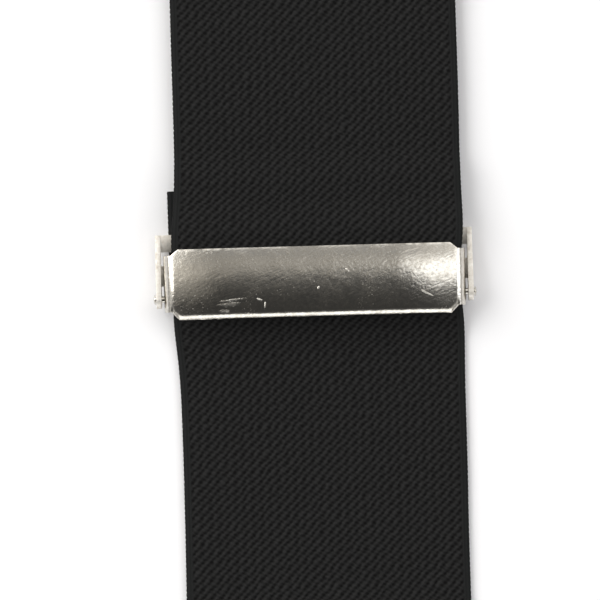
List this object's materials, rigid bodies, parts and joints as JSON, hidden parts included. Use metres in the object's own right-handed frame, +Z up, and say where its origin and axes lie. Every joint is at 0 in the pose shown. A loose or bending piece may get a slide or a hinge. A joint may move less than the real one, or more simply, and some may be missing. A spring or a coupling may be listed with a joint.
{
  "type": "suspenders",
  "caption": "Elastic trouser suspenders that cross at a leather back patch, with metal slide adjusters and hinged lever clips.",
  "frame": {"origin": "centre of the back patch's underside, on the surface that the suspenders lie on", "axes": "+Z up, out of the suspenders' outer face; -Y towards the front clips; +X across"},
  "size_m": [0.4834, 0.9241, 0.0078],
  "materials": {
    "webbing": "black elastic webbing, fine right-hand twill",
    "leather": "black grained leather",
    "nickel": "polished nickel plate",
    "nylon": "dark moulded nylon"
  },
  "bodies": {
    "straps": {"left_webbing": "webbing", "right_webbing": "webbing", "patch_under_leather": "leather", "patch_top_leather": "leather"},
    "left_adjuster": {"left_adjuster_frame": "nickel", "left_adjuster_rivet_1": "nickel", "left_adjuster_rivet_2": "nickel"},
    "left_adjuster_cover": {"left_adjuster_cover": "nickel"},
    "left_front_clip": {"left_front_clip_base": "nickel", "left_front_clip_pad": "nylon", "left_front_clip_pin": "nickel"},
    "left_front_clip_lever": {"left_front_clip_lever": "nickel", "left_front_clip_jaw": "nylon"},
    "right_rear_clip": {"right_rear_clip_base": "nickel", "right_rear_clip_pad": "nylon", "right_rear_clip_pin": "nickel"},
    "right_rear_clip_lever": {"right_rear_clip_lever": "nickel", "right_rear_clip_jaw": "nylon"},
    "right_adjuster": {"right_adjuster_frame": "nickel", "right_adjuster_rivet_1": "nickel", "right_adjuster_rivet_2": "nickel"},
    "right_adjuster_cover": {"right_adjuster_cover": "nickel"},
    "right_front_clip": {"right_front_clip_base": "nickel", "right_front_clip_pad": "nylon", "right_front_clip_pin": "nickel"},
    "right_front_clip_lever": {"right_front_clip_lever": "nickel", "right_front_clip_jaw": "nylon"},
    "left_rear_clip": {"left_rear_clip_base": "nickel", "left_rear_clip_pad": "nylon", "left_rear_clip_pin": "nickel"},
    "left_rear_clip_lever": {"left_rear_clip_lever": "nickel", "left_rear_clip_jaw": "nylon"}
  },
  "joints": [
    {"name": "left_adjuster_slide", "type": "slide", "parent": "straps", "child": "left_adjuster", "axis": [0.342, 0.9397, 0], "range_m": [-0.08, 0.18], "deforming": ["left_webbing"]},
    {"name": "left_cover_lift", "type": "hinge", "parent": "left_adjuster", "child": "left_adjuster_cover", "pos_m": [-0.1667, -0.45801, 0.0032], "axis": [-0.9397, 0.342, 0], "range_deg": [0, 35]},
    {"name": "left_front_clip_follow", "type": "slide", "parent": "left_adjuster", "child": "left_front_clip", "axis": [-0.342, -0.9397, 0], "range_m": [-0.04, 0.09]},
    {"name": "left_front_clip_open", "type": "hinge", "parent": "left_front_clip", "child": "left_front_clip_lever", "pos_m": [-0.22334, -0.61362, 0.0048], "axis": [0.9397, -0.342, 0], "range_deg": [0, 110]},
    {"name": "right_rear_clip_swing", "type": "hinge", "parent": "straps", "child": "right_rear_clip", "pos_m": [0.09234, 0.25372, 0.0024], "axis": [0.9397, -0.342, 0], "range_deg": [0, 75]},
    {"name": "right_rear_clip_open", "type": "hinge", "parent": "right_rear_clip", "child": "right_rear_clip_lever", "pos_m": [0.10363, 0.28473, 0.0048], "axis": [-0.9397, 0.342, 0], "range_deg": [0, 110]},
    {"name": "right_adjuster_slide", "type": "slide", "parent": "straps", "child": "right_adjuster", "axis": [-0.342, 0.9397, 0], "range_m": [-0.08, 0.18], "deforming": ["right_webbing"]},
    {"name": "right_cover_lift", "type": "hinge", "parent": "right_adjuster", "child": "right_adjuster_cover", "pos_m": [0.1667, -0.45801, 0.0032], "axis": [-0.9397, -0.342, 0], "range_deg": [0, 35]},
    {"name": "right_front_clip_follow", "type": "slide", "parent": "right_adjuster", "child": "right_front_clip", "axis": [0.342, -0.9397, 0], "range_m": [-0.04, 0.09]},
    {"name": "right_front_clip_open", "type": "hinge", "parent": "right_front_clip", "child": "right_front_clip_lever", "pos_m": [0.22334, -0.61362, 0.0048], "axis": [0.9397, 0.342, 0], "range_deg": [0, 110]},
    {"name": "left_rear_clip_swing", "type": "hinge", "parent": "straps", "child": "left_rear_clip", "pos_m": [-0.09234, 0.25372, 0.0024], "axis": [0.9397, 0.342, 0], "range_deg": [0, 75]},
    {"name": "left_rear_clip_open", "type": "hinge", "parent": "left_rear_clip", "child": "left_rear_clip_lever", "pos_m": [-0.10363, 0.28473, 0.0048], "axis": [-0.9397, -0.342, 0], "range_deg": [0, 110]}
  ],
  "couplings": [
    {"joint": "left_front_clip_follow", "follows": "left_adjuster_slide", "ratio": 0.5},
    {"joint": "right_front_clip_follow", "follows": "right_adjuster_slide", "ratio": 0.5}
  ]
}
